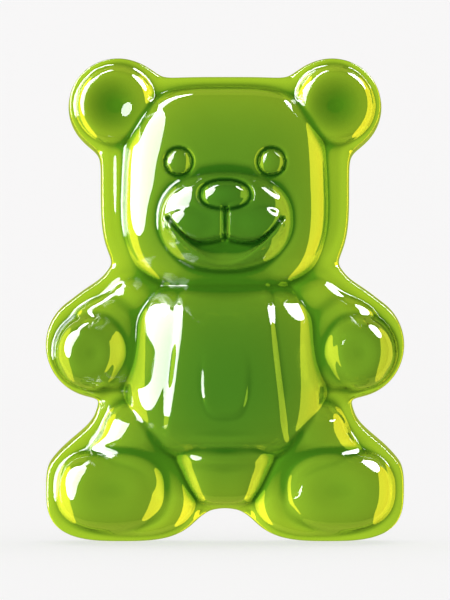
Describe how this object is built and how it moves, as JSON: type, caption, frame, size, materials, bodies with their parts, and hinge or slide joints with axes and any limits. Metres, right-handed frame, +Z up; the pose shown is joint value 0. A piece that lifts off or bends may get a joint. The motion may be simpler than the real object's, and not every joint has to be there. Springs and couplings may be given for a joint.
{
  "type": "gummy bear",
  "caption": "Translucent green gummy sweet moulded as a seated bear with round ears, a smiling muzzle, plump belly, raised paws and flat soles, with a flat back.",
  "frame": {"origin": "under the middle of the bear's box, on the surface it stands on, midway between its flat back and the tip of its nose", "axes": "+X to the right of a viewer who faces the bear, across its arms; +Y from its face to its flat back; +Z up, along its height"},
  "size_m": [0.0164, 0.0095, 0.022],
  "materials": {
    "green_gummy": "translucent yellow-green gelatine jelly, glossy with a thin oiled skin, lime at thin edges and deeper green where it is thick"
  },
  "bodies": {
    "root": {"gummy_bear": "green_gummy"}
  },
  "joints": []
}
